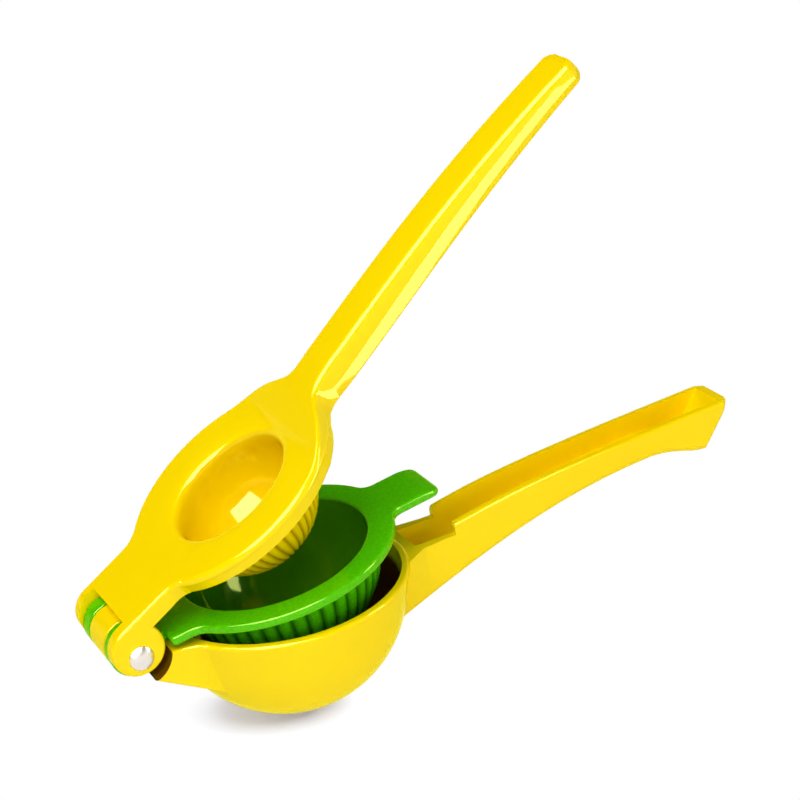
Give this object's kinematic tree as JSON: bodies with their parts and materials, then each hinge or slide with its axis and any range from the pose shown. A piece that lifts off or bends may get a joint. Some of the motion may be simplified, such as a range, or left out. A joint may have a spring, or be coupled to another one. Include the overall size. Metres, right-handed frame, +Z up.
{
  "type": "hinged lemon squeezer",
  "caption": "Hand squeezer for citrus: a deep cup and a domed press on long handles share one hinge pin with a swing-out fluted insert for smaller fruit.",
  "frame": {"origin": "the lowest point of the cup's round bowl, where it rests on the table, straight below the bowl's centre", "axes": "+Z up from the table the squeezer rests on, +X from the hinge towards the handles' ends, +Y along the hinge pin, towards its plain cap"},
  "size_m": [0.2138, 0.0794, 0.1416],
  "materials": {
    "cup_enamel": "thick glossy yellow enamel on cast aluminium",
    "press_enamel": "thick glossy yellow enamel on cast aluminium",
    "insert_enamel": "glossy green enamel on cast aluminium",
    "pin_metal": "polished plated steel"
  },
  "bodies": {
    "lower": {"lower_cup": "cup_enamel"},
    "insert": {"lime_insert": "insert_enamel"},
    "press": {"upper_press": "press_enamel", "hinge_pin": "pin_metal", "hinge_pin_cap": "pin_metal"}
  },
  "joints": [
    {"name": "insert_hinge", "type": "hinge", "parent": "lower", "child": "insert", "pos_m": [-0.04927, 0, 0.05512], "axis": [0, -1, 0], "range_deg": [-8, 67]},
    {"name": "press_hinge", "type": "hinge", "parent": "insert", "child": "press", "pos_m": [-0.04927, 0, 0.05512], "axis": [0, -1, 0], "range_deg": [-22, 53]}
  ]
}
